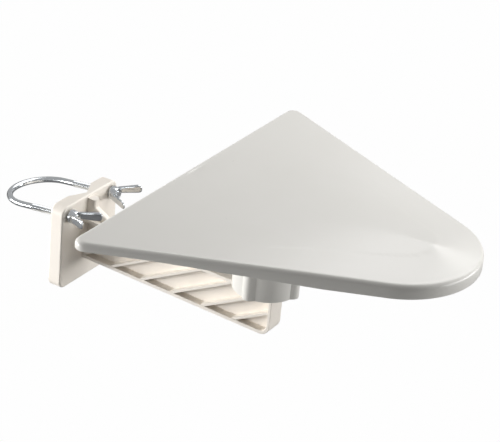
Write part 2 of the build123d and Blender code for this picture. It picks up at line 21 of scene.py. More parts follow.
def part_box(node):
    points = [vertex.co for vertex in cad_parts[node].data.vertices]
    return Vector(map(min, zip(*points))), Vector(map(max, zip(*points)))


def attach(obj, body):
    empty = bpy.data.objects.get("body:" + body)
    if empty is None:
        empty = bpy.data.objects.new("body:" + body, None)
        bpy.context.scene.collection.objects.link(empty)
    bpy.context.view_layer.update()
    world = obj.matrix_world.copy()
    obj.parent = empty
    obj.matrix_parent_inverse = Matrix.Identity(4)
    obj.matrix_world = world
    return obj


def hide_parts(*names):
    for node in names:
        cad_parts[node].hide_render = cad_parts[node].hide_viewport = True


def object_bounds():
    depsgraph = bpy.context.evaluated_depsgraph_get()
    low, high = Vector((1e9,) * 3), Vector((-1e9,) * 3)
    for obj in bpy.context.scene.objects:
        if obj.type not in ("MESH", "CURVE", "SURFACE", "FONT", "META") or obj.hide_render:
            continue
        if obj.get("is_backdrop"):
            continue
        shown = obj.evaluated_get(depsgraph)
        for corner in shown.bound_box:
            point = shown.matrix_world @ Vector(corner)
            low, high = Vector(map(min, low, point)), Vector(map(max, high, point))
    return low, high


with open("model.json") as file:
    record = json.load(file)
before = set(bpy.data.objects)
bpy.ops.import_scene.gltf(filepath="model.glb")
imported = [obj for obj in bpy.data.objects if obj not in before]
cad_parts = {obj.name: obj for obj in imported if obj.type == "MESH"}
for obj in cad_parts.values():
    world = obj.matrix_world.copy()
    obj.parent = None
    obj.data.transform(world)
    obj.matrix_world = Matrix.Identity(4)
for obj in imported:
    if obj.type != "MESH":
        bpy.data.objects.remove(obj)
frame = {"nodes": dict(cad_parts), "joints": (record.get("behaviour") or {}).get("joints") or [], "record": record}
cad_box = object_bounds()
nodes = frame["nodes"]
print("nodes:", len(nodes))

# %% [markdown]
# ## Units and small tools
#
# Everything is in metres, so one constant turns workshop millimetres into scene units.
# Colours are written as the hex values that a paint chart would give. The renderer adds
# light in linear values, so each hex colour is decoded once, by one function. The only
# node helper makes one node, sets what is named and links what is given.

# %% Units, colour and the node helper
MM = 0.001


def linear(hex_colour):
    """Linear RGBA from an sRGB hex colour."""
    parts = [int(hex_colour[n:n + 2], 16) / 255 for n in (1, 3, 5)]
    decoded = [c / 12.92 if c <= 0.04045 else ((c + 0.055) / 1.055) ** 2.4 for c in parts]
    return (*decoded, 1.0)


def node(tree, kind, settings=None, **inputs):
    """Add one node. An input's value may be a number, a colour or another node's output."""
    made = tree.nodes.new(kind)
    for name, value in (settings or {}).items():
        setattr(made, name, value)
    for name, value in inputs.items():
        socket = made.inputs[int(name[1:])] if name[1:].isdigit() else made.inputs[name]
        if isinstance(value, bpy.types.NodeSocket):
            tree.links.new(value, socket)
        else:
            socket.default_value = value
    return made


def start_material(name, **shader_inputs):
    """A material with one Principled shader, and the tree, shader and Object coordinates."""
    material = bpy.data.materials.new(name)
    material.use_nodes = True
    tree = material.node_tree
    tree.nodes.clear()
    shader = tree.nodes.new("ShaderNodeBsdfPrincipled")
    output = tree.nodes.new("ShaderNodeOutputMaterial")
    tree.links.new(shader.outputs["BSDF"], output.inputs["Surface"])
    for socket, value in shader_inputs.items():
        shader.inputs[socket.replace("_", " ")].default_value = value
    place = tree.nodes.new("ShaderNodeTexCoord").outputs["Object"]
    return material, tree, shader, place


print("one millimetre is", MM, "scene units")

# %% [markdown]
# ## White ABS for the housing
#
# The roof, the tray and the post are injection-moulded ABS. A polished mould leaves a
# surface with a soft gloss, very slightly uneven where the plastic shrank as it cooled.
# Two noises do that: a slow one, about 60 mm across, for the shrinkage, and a fine one of
# about 0.6 mm for the skin of the plastic. A third breaks up the roughness, because years
# of handling never leave a surface equally shiny all over.

# %% Housing plastic


def moulded_plastic(name, base, shade, roughness, sink_mm, grain_mm, grain_depth_mm):
    """Moulded plastic: two close tints, uneven gloss, slow sink and fine grain."""
    material, tree, shader, place = start_material(name, IOR=1.53)
    tint = node(tree, "ShaderNodeTexNoise", Vector=place, Scale=1 / (sink_mm * MM), Detail=2.0)
    mix = node(tree, "ShaderNodeMix", {"data_type": "RGBA"}, _0=tint.outputs["Fac"],
               _6=linear(base), _7=linear(shade))
    tree.links.new(mix.outputs[2], shader.inputs["Base Color"])
    smudge = node(tree, "ShaderNodeTexNoise", Vector=place, Scale=1 / (9 * MM), Detail=4.0)
    gloss = node(tree, "ShaderNodeMapRange", Value=smudge.outputs["Fac"])
    gloss.inputs["To Min"].default_value = roughness - 0.05
    gloss.inputs["To Max"].default_value = roughness + 0.05
    tree.links.new(gloss.outputs["Result"], shader.inputs["Roughness"])
    sink = node(tree, "ShaderNodeTexNoise", Vector=place, Scale=1 / (sink_mm * MM), Detail=1.0)
    slow = node(tree, "ShaderNodeBump", Height=sink.outputs["Fac"], Strength=0.12, Distance=0.6 * MM)
    grain = node(tree, "ShaderNodeTexNoise", Vector=place, Scale=1 / (grain_mm * MM), Detail=2.0)
    fine = node(tree, "ShaderNodeBump", Height=grain.outputs["Fac"], Strength=0.35,
                Distance=grain_depth_mm * MM, Normal=slow.outputs["Normal"])
    tree.links.new(fine.outputs["Normal"], shader.inputs["Normal"])
    return material


housing_abs = moulded_plastic("housing_abs", "#E6E4DF", "#E2E0DA", 0.30, 60, 0.6, 0.01)
print("made", housing_abs.name)

# %% [markdown]
# ## Cream ABS for the bracket
#
# The bracket comes from another mould and another batch, so it is warmer than the housing.
# Its mould was spark-eroded, which leaves a satin surface with a visible fine grain.

# %% Bracket plastic
bracket_abs = moulded_plastic("bracket_abs", "#F9F3EA", "#F4ECE1", 0.42, 45, 0.9, 0.03)
print("made", bracket_abs.name)

# %% [markdown]
# ## Bright zinc on steel
#
# The bolt and the nuts are mild steel with a bright zinc plate: nearly a mirror, with a
# faint blue cast, and cloudy where the bath left the plate uneven. Noise of a few
# millimetres clouds the roughness, and a finer one gives the tiny orange-peel bump.

# %% Zinc plating and the other metals


def plated_metal(name, base, dull, roughness, cloud_mm, peel_mm, metallic=1.0):
    """Plated or rolled metal: cloudy reflections and a fine peel."""
    material, tree, shader, place = start_material(name, Metallic=metallic)
    cloud = node(tree, "ShaderNodeTexNoise", Vector=place, Scale=1 / (cloud_mm * MM), Detail=5.0)
    mix = node(tree, "ShaderNodeMix", {"data_type": "RGBA"}, _0=cloud.outputs["Fac"],
               _6=linear(base), _7=linear(dull))
    tree.links.new(mix.outputs[2], shader.inputs["Base Color"])
    rough = node(tree, "ShaderNodeMapRange", Value=cloud.outputs["Fac"])
    rough.inputs["To Min"].default_value = roughness * 0.6
    rough.inputs["To Max"].default_value = roughness * 1.5
    tree.links.new(rough.outputs["Result"], shader.inputs["Roughness"])
    peel = node(tree, "ShaderNodeTexNoise", Vector=place, Scale=1 / (peel_mm * MM), Detail=3.0)
    bump = node(tree, "ShaderNodeBump", Height=peel.outputs["Fac"], Strength=0.25, Distance=0.02 * MM)
    tree.links.new(bump.outputs["Normal"], shader.inputs["Normal"])
    return material


bright_zinc = plated_metal("bright_zinc", "#D9DCDE", "#B9BDC1", 0.16, 5, 0.8)
screw_steel = plated_metal("screw_steel", "#BDBDBB", "#9A9A98", 0.28, 2, 0.5)
nickel = plated_metal("nickel_plate", "#D6D0C3", "#BDB6A8", 0.14, 3, 0.6)
contact_brass = plated_metal("contact_brass", "#D9B765", "#B8954A", 0.25, 2, 0.5)
print("made four metals")

# %% [markdown]
# ## Sheet aluminium, rubber and the small plastics
#
# The antenna inside the housing is cut from rolled aluminium sheet. Rolling leaves long
# faint streaks along the sheet, so its noise is stretched twenty times along X. The
# gasket is closed-cell foam rubber, which is matt and pitted. The cable jacket, the
# spacers and the socket's insulator are plain moulded or extruded plastics.

# %% Aluminium, foam and small plastics
rolled_aluminium, tree, shader, place = start_material("rolled_aluminium", Metallic=1.0)
along = node(tree, "ShaderNodeMapping", Vector=place)
along.inputs["Scale"].default_value = (0.05, 1.0, 1.0)
streak = node(tree, "ShaderNodeTexNoise", Vector=along.outputs["Vector"], Scale=1 / (0.8 * MM), Detail=3.0)
tint = node(tree, "ShaderNodeMix", {"data_type": "RGBA"}, _0=streak.outputs["Fac"],
            _6=linear("#D8D9DB"), _7=linear("#BFC1C4"))
tree.links.new(tint.outputs[2], shader.inputs["Base Color"])
dull = node(tree, "ShaderNodeMapRange", Value=streak.outputs["Fac"])
dull.inputs["To Min"].default_value = 0.26
dull.inputs["To Max"].default_value = 0.40
tree.links.new(dull.outputs["Result"], shader.inputs["Roughness"])

foam_rubber, tree, shader, place = start_material("foam_rubber", IOR=1.45)
cells = node(tree, "ShaderNodeTexVoronoi", Vector=place, Scale=1 / (0.7 * MM))
# The centres of the cells, which the bump sinks deepest, are painted darker: painted shade in the pits.
shade = node(tree, "ShaderNodeMix", {"data_type": "RGBA"}, _0=cells.outputs["Distance"],
             _6=linear("#1B1B1C"), _7=linear("#2C2C2E"))
tree.links.new(shade.outputs[2], shader.inputs["Base Color"])
shader.inputs["Roughness"].default_value = 0.85
pits = node(tree, "ShaderNodeBump", Height=cells.outputs["Distance"], Strength=0.6, Distance=0.1 * MM)
tree.links.new(pits.outputs["Normal"], shader.inputs["Normal"])

jacket_pvc = moulded_plastic("jacket_pvc", "#1C1C1D", "#242425", 0.38, 12, 0.5, 0.01)
spacer_nylon = moulded_plastic("spacer_nylon", "#3B3C3E", "#444547", 0.45, 10, 0.5, 0.02)
socket_ptfe = moulded_plastic("socket_ptfe", "#EFEDE8", "#E8E5DE", 0.40, 8, 0.5, 0.01)
print("made aluminium, foam, PVC, nylon and PTFE")

# %% [markdown]
# ## Which finish each frame piece takes
#
# The record names a material slot for every piece of the frame. Each slot has one finish
# here, so a loop over the pieces dresses the whole frame. The meshes themselves stay as
# they came.

# %% Dress the frame
finishes = {
    "housing_plastic": housing_abs,
    "bracket_plastic": bracket_abs,
    "zinc_plated_steel": bright_zinc,
    "stainless_screw": screw_steel,
    "array_aluminium": rolled_aluminium,
    "nickel_brass": nickel,
    "socket_dielectric": socket_ptfe,
    "contact_brass": contact_brass,
    "foam_rubber": foam_rubber,
    "cable_jacket": jacket_pvc,
    "spacer_plastic": spacer_nylon,
}
slot_of = {part["node"]: part["material_slot"] for part in frame["record"]["subparts"]}
for name, piece in nodes.items():
    piece.data.materials.clear()
    piece.data.materials.append(finishes[slot_of[name]])
print("dressed", len(nodes), "pieces in", len(finishes), "finishes")

# %% [markdown]
# ## Turning point rows into closed meshes
#
# The roof and the wings of the nuts are all built the same way: closed rows of points,
# one after another, with faces between neighbouring rows and a fan at each end. One
# helper does that. It recalculates the normals, so that every face points outwards.

# %% Mesh helpers


def skin(name, rows, finish, caps=True):
    """A mesh object from closed rows of points in millimetres, all of the same length."""
    rows = np.asarray(rows, float)
    count, width = rows.shape[:2]
    faces = []
    for n in range(count - 1):
        for k in range(width):
            after = (k + 1) % width
            faces.append((n * width + k, n * width + after,
                          (n + 1) * width + after, (n + 1) * width + k))
    points = [tuple(p) for p in (rows.reshape(-1, 3) * MM)]
    if caps:
        for row, flip in ((0, True), (count - 1, False)):
            centre = len(points)
            points.append(tuple(rows[row].mean(axis=0) * MM))
            for k in range(width):
                a, b = row * width + k, row * width + (k + 1) % width
                faces.append((b, a, centre) if flip else (a, b, centre))
    mesh = bpy.data.meshes.new(name)
    mesh.from_pydata(points, [], faces)
    return wrap(name, mesh, finish)


def wrap(name, mesh, finish, smooth_angle=35):
    """Clean a mesh, give it its finish and put it in the scene."""
    work = bmesh.new()
    work.from_mesh(mesh)
    bmesh.ops.remove_doubles(work, verts=work.verts, dist=0.001 * MM)
    bmesh.ops.dissolve_degenerate(work, edges=work.edges, dist=0.0005 * MM)
    bmesh.ops.recalc_face_normals(work, faces=work.faces)
    for face in work.faces:
        face.smooth = True
    for edge in work.edges:
        sharp = len(edge.link_faces) == 2 and edge.calc_face_angle(0) > radians(smooth_angle)
        edge.smooth = not sharp
    work.to_mesh(mesh)
    work.free()
    mesh.materials.clear()
    mesh.materials.append(finish)
    made = bpy.data.objects.new(name, mesh)
    bpy.context.scene.collection.objects.link(made)
    return made


def join(name, pieces, finish):
    """Join finished pieces into one object."""
    work = bmesh.new()
    for piece in pieces:
        work.from_mesh(piece.data)
        bpy.data.objects.remove(piece)
    mesh = bpy.data.meshes.new(name)
    work.to_mesh(mesh)
    work.free()
    return wrap(name, mesh, finish)


def report(piece):
    """Print a piece's size in millimetres and its triangle count."""
    corners = np.array([v.co for v in piece.data.vertices])
    size = (corners.max(axis=0) - corners.min(axis=0)) / MM
    piece.data.calc_loop_triangles()
    print(piece.name, "size", size.round(1), "triangles", len(piece.data.loop_triangles))


print("mesh helpers ready")

# %% [markdown]
# ## The outline of the housing
#
# Seen from above the housing is a triangle with a straight rear edge, two sides that bow
# in very slightly, small rear corners and a broad round nose. The rear edge and the nose
# come from the frame. Half of the outline is drawn as arcs and mirrored, then spaced
# evenly, so that rows of points which follow it stay regular.

# %% Outline
shell_low, shell_high = (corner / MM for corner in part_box("top_shell"))
REAR, NOSE, TOP = shell_low.x, shell_high.x, shell_high.z
SHARP_HALF_WIDTH = 170.0  # where the sides and the rear edge would meet
NOSE_RADIUS = 72.0
SIDE_ANGLE = radians(24.8)
CORNER_RADIUS = 8.5
OUTLINE_POINTS = 560


def arc(centre, radius, start, end, count):
    """Points on an arc, from one angle to another."""
    angles = np.linspace(start, end, count)
    return np.stack([centre[0] + radius * np.cos(angles), centre[1] + radius * np.sin(angles)], axis=1)


def side_arc(start, heading, end, count):
    """The arc that leaves start along heading and ends at end."""
    start, end, heading = np.array(start), np.array(end), np.array(heading)
    across = np.array([-heading[1], heading[0]])
    chord = end - start
    radius = chord @ chord / (2 * (chord @ across))
    centre = start + across * radius
    first, last = start - centre, end - centre
    a = atan2(first[1], first[0])
    b = a + (atan2(last[1], last[0]) - a + pi) % (2 * pi) - pi
    return arc(centre, abs(radius), a, b, count)


def closed_outline(rear, nose, half_width, nose_radius, side_angle, corner_radius, count):
    """Evenly spaced points round a rounded triangle, counter-clockwise from the nose."""
    centre = nose - nose_radius
    front = arc((centre, 0), nose_radius, 0, pi / 2 - side_angle, 90)
    side = side_arc(front[-1], (-cos(side_angle), sin(side_angle)), (rear, half_width), 400)
    heading = side[-1] - side[-20]
    heading /= hypot(*heading)
    # round the corner between the end of the side and the rear edge
    inner = np.arccos(heading @ np.array([0, 1]))
    reach = corner_radius / tan(inner / 2)
    tangent = np.array([rear, half_width - reach])
    bend = np.array([rear + corner_radius, half_width - reach])
    kept = side[np.hypot(*(side - side[-1]).T) > reach]
    turn = arc(bend, corner_radius, pi - (pi - inner), pi, 24)
    upper = np.concatenate([front, kept[1:], turn, [tangent]])
    lower = upper[::-1] * (1, -1)
    path = np.concatenate([upper, lower[:-1]])
    closed = np.concatenate([path, path[:1]])
    lengths = np.concatenate([[0], np.cumsum(np.hypot(*np.diff(closed, axis=0).T))])
    even = np.linspace(0, lengths[-1], count, endpoint=False)
    return np.stack([np.interp(even, lengths, closed[:, n]) for n in (0, 1)], axis=1)


edge = closed_outline(REAR, NOSE, SHARP_HALF_WIDTH, NOSE_RADIUS, SIDE_ANGLE, CORNER_RADIUS, OUTLINE_POINTS)
ahead = np.roll(edge, -1, axis=0) - np.roll(edge, 1, axis=0)
ahead /= np.hypot(*ahead.T)[:, None]
outward = np.stack([ahead[:, 1], -ahead[:, 0]], axis=1)
print("outline", len(edge), "points; half width", edge[:, 1].max().round(2))

# %% [markdown]
# ## The roof
#
# The roof is one moulding: a rim with rounded edges, a gentle slope up from the rim, a
# faint step along a teardrop-shaped contour, and two facets that rise to a soft crest
# along the middle, which climbs towards the nose. Subdivision would blur the step, and a
# displaced grid would give a ragged edge. Rows of points that shrink from the outline to
# one centre keep the edge exact, and a height rule gives each point its level, so the
# step and the crease stay as fine as the rows are close.

# %% Heights on the roof
PITCH_START = REAR + 6.0  # where the crest begins to climb
FIELD_TIP = 360.7  # front end of the contour and of the crest
FIELD_RADIUS = 30.0
FIELD_INSET = 14.0
FIELD_ANGLE = radians(27.5)
RIM_TOP = 68.0
CLIMB = TOP - RIM_TOP
STEP = 0.5  # height of the step along the contour
STEP_WIDTH = 1.2
RIM_ROUND = 4.0
WALL = 2.5

field = closed_outline(PITCH_START, FIELD_TIP, SHARP_HALF_WIDTH - FIELD_INSET, FIELD_RADIUS,
                       FIELD_ANGLE, 5.0, 420)
ledge = edge - outward * RIM_ROUND


def distance(points, path):
    """Shortest distance from each point to a closed path of short segments."""
    start, step = path, np.roll(path, -1, axis=0) - path
    best = np.full(len(points), np.inf)
    for a, d in zip(start, step):
        t = np.clip(((points - a) @ d) / (d @ d), 0, 1)
        best = np.minimum(best, np.hypot(*(points - a - t[:, None] * d).T))
    return best


def inside(points, path):
    """True where a point lies inside a closed path."""
    hit = np.zeros(len(points), bool)
    for a, b in zip(path, np.roll(path, -1, axis=0)):
        crosses = (a[1] > points[:, 1]) != (b[1] > points[:, 1])
        if a[1] != b[1]:
            x = a[0] + (points[:, 1] - a[1]) * (b[0] - a[0]) / (b[1] - a[1])
            hit ^= crosses & (points[:, 0] < x)
    return hit


def ease(value):
    """Smooth step from 0 to 1."""
    value = np.clip(value, 0, 1)
    return value * value * (3 - 2 * value)


def roof_level(points):
    """Height of the outer face of the roof inside its rounded rim."""
    x, y = points.T
    climb = CLIMB * np.clip((x - PITCH_START) / (FIELD_TIP - PITCH_START), 0, 1)
    # both facets run from the rim up to the crest, which is softer towards the rear
    softness = np.interp(x, [200, 340], [40, 4])
    beside = np.sqrt(y * y + softness**2) - softness
    beyond = np.maximum(x - FIELD_TIP, 0)
    to_crest = np.hypot(beside, beyond)
    to_ledge = distance(points, ledge)
    share = to_ledge / np.maximum(to_ledge + to_crest, 1e-6)
    to_field = distance(points, field)
    signed = np.where(inside(points, field), to_field, -to_field)
    step = STEP * np.clip((x - 200) / 80, 0, 1)
    return RIM_TOP + (climb - STEP) * share + step * ease(signed / STEP_WIDTH + 0.5) * share


print("roof climbs", round(CLIMB, 2), "mm; contour", len(field), "points")

# %% [markdown]
# ## Skinning the roof
#
# The wall is built as one closed skin. It starts at the middle of the inner face, runs out
# to the rim, down inside it, round its lower edge, up the outside, over the rounded top
# edge and back in to the middle of the roof. The lower edge of the rim is deeper at the
# nose than at the rear. Six hollow bosses hang inside for the screws of the cover.

# %% Roof mesh
RIM_REAR, RIM_NOSE = 60.0, 55.2
RIM_STEP = (190.0, 310.0)
SCREW_PLACES = [(x, y * hand) for x, y in ((175.0, 104.0), (240.0, 76.0), (308.5, 44.0)) for hand in (1, -1)]
TRAY_INNER_FLOOR = 52.5
CENTRE = np.array([REAR + 85.0, 0.0])


def ring(inset, level):
    """A row round the outline, moved in by inset, at a level that may vary."""
    flat = edge - outward * inset
    return np.column_stack([flat, np.broadcast_to(level, len(flat))])


def shrinking(start, shares):
    """Flat rows from a closed path towards the centre."""
    return [CENTRE + (start - CENTRE) * (1 - share) for share in shares]


rim_low = np.interp(edge[:, 0], RIM_STEP, (RIM_REAR, RIM_NOSE))
shares = np.concatenate([np.linspace(0, 0.10, 9)[:-1], np.linspace(0.10, 0.985, 62)])
inner_start = edge - outward * WALL
rows = []
for flat in reversed(shrinking(inner_start, shares[1:])):
    rows.append(np.column_stack([flat, roof_level(flat) - WALL]))
rows.append(ring(WALL, RIM_TOP - WALL))
rows.append(ring(WALL, rim_low + 0.4))
rows.append(ring(WALL - 0.4, rim_low))
rows.append(ring(0.9, rim_low))
rows.append(ring(0.3, rim_low + 0.3))
rows.append(ring(0.0, rim_low + 0.9))
for turn in np.linspace(0, pi / 2, 9):
    rows.append(ring(RIM_ROUND * (1 - cos(turn)), RIM_TOP - RIM_ROUND * (1 - sin(turn))))
for flat in shrinking(ledge, shares[1:]):
    rows.append(np.column_stack([flat, roof_level(flat)]))
roof = skin("roof", rows, housing_abs)

bosses = []
for number, (x, y) in enumerate(SCREW_PLACES):
    roof_here = float(roof_level(np.array([[x, y]]))[0]) - WALL
    around = arc((x, y), 1.0, 0, 2 * pi, 25)[:-1] - (x, y)
    profile = ((4.0, roof_here + 1), (4.0, TRAY_INNER_FLOOR), (1.55, TRAY_INNER_FLOOR), (1.55, roof_here))
    tube = [np.column_stack([(x, y) + around * r, np.full(24, z)]) for r, z in profile]
    bosses.append(skin(f"boss_{number}", tube, housing_abs))
roof = join("roof", [roof, *bosses], housing_abs)
report(roof)
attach(roof, "antenna")
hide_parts("top_shell")

# %% [markdown]
# ## The U-bolt and its rolled threads
#
# The bolt is one rod. Rolling presses the thread's grooves in and its crests out, so the
# threaded ends are thicker than the plain rod. The rod is a tube along a path of two
# straight legs and a half circle. The thread is a rule, so Geometry Nodes make it: a plain
# cylinder whose points move in and out by their height along the pitch and their angle
# round the axis. Both ends fade out, as a rolled thread does.

# %% Thread tree


def thread_tree(finish):
    """Geometry Nodes: a closed cylinder along Z with a helical thread on it."""
    tree = bpy.data.node_groups.new("rolled_thread", "GeometryNodeTree")
    face = tree.interface
    face.new_socket("Geometry", in_out="OUTPUT", socket_type="NodeSocketGeometry")
    for name, value in (("Length", 50 * MM), ("Crest Radius", 3 * MM), ("Depth", 0.6 * MM),
                        ("Pitch", 1 * MM), ("Fade", 1.5 * MM)):
        made = face.new_socket(name, in_out="INPUT", socket_type="NodeSocketFloat")
        made.default_value = value
    for name, value in (("Sides", 32), ("Rows", 400)):
        made = face.new_socket(name, in_out="INPUT", socket_type="NodeSocketInt")
        made.default_value = value
    given = tree.nodes.new("NodeGroupInput").outputs
    math = "ShaderNodeMath"
    rod = node(tree, "GeometryNodeMeshCylinder", {"fill_type": "TRIANGLE_FAN"},
               Vertices=given["Sides"], Radius=given["Crest Radius"], Depth=given["Length"])
    tree.links.new(given["Rows"], rod.inputs["Side Segments"])
    position = tree.nodes.new("GeometryNodeInputPosition").outputs[0]
    where = node(tree, "ShaderNodeSeparateXYZ", Vector=position)
    x, y, z = where.outputs
    angle = node(tree, math, {"operation": "ARCTAN2"}, _0=y, _1=x)
    turns = node(tree, math, {"operation": "DIVIDE"}, _0=angle.outputs[0], _1=2 * pi)
    pitches = node(tree, math, {"operation": "DIVIDE"}, _0=z, _1=given["Pitch"])
    phase = node(tree, math, {"operation": "SUBTRACT"}, _0=pitches.outputs[0], _1=turns.outputs[0])
    zigzag = node(tree, math, {"operation": "PINGPONG"}, _0=phase.outputs[0], _1=0.5)
    groove = node(tree, "ShaderNodeMapRange", Value=zigzag.outputs[0])
    groove.inputs["From Min"].default_value = 0.06
    groove.inputs["From Max"].default_value = 0.44
    half = node(tree, math, {"operation": "MULTIPLY"}, _0=given["Length"], _1=0.5)
    height = node(tree, math, {"operation": "ABSOLUTE"}, _0=z)
    from_end = node(tree, math, {"operation": "SUBTRACT"}, _0=half.outputs[0], _1=height.outputs[0])
    fade = node(tree, math, {"operation": "DIVIDE", "use_clamp": True},
                _0=from_end.outputs[0], _1=given["Fade"])
    cut = node(tree, math, {"operation": "MULTIPLY"}, _0=groove.outputs[0], _1=given["Depth"])
    flat = node(tree, math, {"operation": "SUBTRACT"}, _0=1.0, _1=fade.outputs[0])
    bare = node(tree, math, {"operation": "MULTIPLY"}, _0=flat.outputs[0], _1=given["Depth"])
    deep = node(tree, math, {"operation": "MAXIMUM"}, _0=cut.outputs[0], _1=bare.outputs[0])
    share = node(tree, math, {"operation": "DIVIDE"}, _0=deep.outputs[0], _1=given["Crest Radius"])
    radial = node(tree, "ShaderNodeCombineXYZ", X=x, Y=y)
    inward = node(tree, math, {"operation": "MULTIPLY"}, _0=share.outputs[0], _1=-1.0)
    move = node(tree, "ShaderNodeVectorMath", {"operation": "SCALE"},
                _0=radial.outputs[0], Scale=inward.outputs[0])
    shaped = node(tree, "GeometryNodeSetPosition", Geometry=rod.outputs["Mesh"], Offset=move.outputs[0])
    real = node(tree, "GeometryNodeRealizeInstances", Geometry=shaped.outputs[0])
    dressed = node(tree, "GeometryNodeSetMaterial", Geometry=real.outputs[0], Material=finish)
    node(tree, "NodeGroupOutput", Geometry=dressed.outputs[0])
    return tree


def grown(name, tree, **inputs):
    """Run a Geometry Nodes tree on an empty mesh and keep the result as a plain mesh."""
    carrier = bpy.data.objects.new(name + "_carrier", bpy.data.meshes.new(name + "_carrier"))
    bpy.context.scene.collection.objects.link(carrier)
    modifier = carrier.modifiers.new("grow", "NODES")
    modifier.node_group = tree
    for item in tree.interface.items_tree:
        if item.in_out == "INPUT" and item.name.replace(" ", "_") in inputs:
            modifier[item.identifier] = inputs[item.name.replace(" ", "_")]
    bpy.context.view_layer.update()
    seen = carrier.evaluated_get(bpy.context.evaluated_depsgraph_get())
    mesh = bpy.data.meshes.new_from_object(seen)
    bpy.data.objects.remove(carrier)
    mesh.name = name
    return mesh


print("thread tree nodes:", len(thread_tree(bright_zinc).nodes))

# %% [markdown]
# ## Placing the bolt
#
# The loose bolt hangs a few degrees down at its bend, so both legs share one tilted
# direction. The frame's joint gives that direction. Its hinges give the points where the
# legs pass through the plate. Every length along a leg is counted from there.

# %% Bolt geometry
joints = {joint["name"]: joint for joint in frame["joints"]}
forward = Vector(joints["u_bolt_slide"]["axis"]).normalized()
left_pin = Vector(joints["wing_nut_left_spin"]["pos_m"])
right_pin = Vector(joints["wing_nut_right_spin"]["pos_m"])
LEG_END = 16.0 * MM
THREAD_LENGTH = 50.0 * MM
ARCH_DISTANCE = 44.1 * MM
SHANK_RADIUS = 2.69 * MM
CREST_RADIUS = 3.0 * MM
ROD_OVERLAP = 1.0 * MM  # how far the rod runs into each threaded end
half_gap = (left_pin - right_pin).length / 2
middle = (left_pin + right_pin) / 2


def turned_to(direction, origin):
    """A matrix that turns +Z to a direction and moves the origin."""
    return Matrix.Translation(origin) @ direction.to_track_quat("Z", "Y").to_matrix().to_4x4()


path = [right_pin + forward * (LEG_END - THREAD_LENGTH + ROD_OVERLAP)]
for turn in np.linspace(0, pi, 49):
    aside = Vector((0, -half_gap * cos(turn), 0))
    path.append(middle - forward * (ARCH_DISTANCE + half_gap * sin(turn)) + aside)
path.append(left_pin + forward * (LEG_END - THREAD_LENGTH + ROD_OVERLAP))
up = forward.cross(Vector((0, 1, 0)))
rod_rows = []
for number, point in enumerate(path):
    before, after = path[max(number - 1, 0)], path[min(number + 1, len(path) - 1)]
    heading = (after - before).normalized()
    aside = heading.cross(up).normalized()
    spokes = [cos(a) * aside + sin(a) * up for a in np.linspace(0, 2 * pi, 33)[:-1]]
    rod_rows.append([(point + spoke * SHANK_RADIUS) / MM for spoke in spokes])
rod = skin("rod", rod_rows, bright_zinc)

threads = thread_tree(bright_zinc)
parts = [rod]
for side, pin in (("left", left_pin), ("right", right_pin)):
    mesh = grown(f"thread_{side}", threads, Length=THREAD_LENGTH, Crest_Radius=CREST_RADIUS)
    mesh.transform(turned_to(forward, pin + forward * (LEG_END - THREAD_LENGTH / 2)))
    parts.append(wrap(f"thread_{side}", mesh, bright_zinc, smooth_angle=80))
threaded_bolt = join("threaded_bolt", parts, bright_zinc)
report(threaded_bolt)
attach(threaded_bolt, "u_bolt")
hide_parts("u_bolt")

# %% [markdown]
# ## Wing nuts
#
# These are cast and plated wing nuts: a round boss that narrows away from the plate, and
# two broad wings that lean outwards and swell at their tips where the fingers press.
# A wing is a rounded bar whose section grows along its length, so it is skinned from
# rows. The boss is turned, so it is a profile spun round the leg. The hole shows a
# shallow countersink, and the bolt's end stands in it.

# %% Wing nut shapes
NUT_GAP = 1.8
PLATE_HALF = 6.625
LEFT_TURN, RIGHT_TURN = 13.0, -5.7
SEAT = (PLATE_HALF / forward.x + NUT_GAP) * MM
BOSS = ((3.05, 0.35), (3.4, 0.0), (5.9, 0.0), (6.3, 0.4), (6.25, 1.6), (5.35, 5.6), (5.1, 6.5),
        (4.6, 7.0), (3.6, 7.0), (3.05, 6.5))
# along the wing: distance out, height, half width, half thickness
WING = ((3.6, 1.6, 2.6, 1.1), (4.9, 2.6, 3.1, 1.4), (6.4, 5.2, 3.3, 1.35), (8.2, 9.2, 3.4, 1.25),
        (10.2, 13.6, 3.7, 1.25), (12.1, 17.6, 4.0, 1.3), (13.3, 20.2, 4.0, 1.35),
        (13.9, 21.6, 3.5, 1.25), (14.2, 22.3, 2.4, 0.95), (14.35, 22.7, 1.0, 0.45))


def wing_nut(name):
    """One nut about its own axis, which is Z, in millimetres, with its wings along X."""
    around = np.linspace(0, 2 * pi, 49)[:-1]
    turned = [np.column_stack([r * np.cos(around), r * np.sin(around), np.full(48, z)]) for r, z in BOSS]
    boss = skin(name + "_boss", turned + [turned[0]], bright_zinc, caps=False)
    pieces = [boss]
    spine = np.array([(out, height) for out, height, *_ in WING])
    headings = np.gradient(spine, axis=0)
    headings /= np.hypot(*headings.T)[:, None]
    for hand in (1, -1):
        rows = []
        for (out, height, half_width, half_thick), heading in zip(WING, headings):
            a = np.linspace(0, 2 * pi, 33)[:-1]
            # a section with flat faces and rounded edges
            wide = half_width * np.sign(np.cos(a)) * np.abs(np.cos(a)) ** 0.45
            thick = half_thick * np.sign(np.sin(a)) * np.abs(np.sin(a)) ** 0.7
            across = np.array([-heading[1], heading[0]])
            aside = hand * (out + thick * across[0])
            rows.append(np.column_stack([aside, wide, height + thick * across[1]]))
        pieces.append(skin(f"{name}_wing", rows, bright_zinc))
    return join(name, pieces, bright_zinc)


for side, pin, turn in (("left", left_pin, LEFT_TURN), ("right", right_pin, RIGHT_TURN)):
    nut = wing_nut(f"{side}_nut_body")
    level = Vector((0, cos(radians(turn)), sin(radians(turn))))
    level = (level - forward * level.dot(forward)).normalized()
    across = forward.cross(level)
    place = Matrix((level, across, forward)).transposed().to_4x4()
    nut.data.transform(Matrix.Translation(pin + forward * SEAT) @ place)
    smooth = nut.modifiers.new("soften", "SUBSURF")
    smooth.levels = smooth.render_levels = 1
    report(nut)
    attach(nut, f"{side}_nut")
    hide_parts(f"wing_nut_{side}")

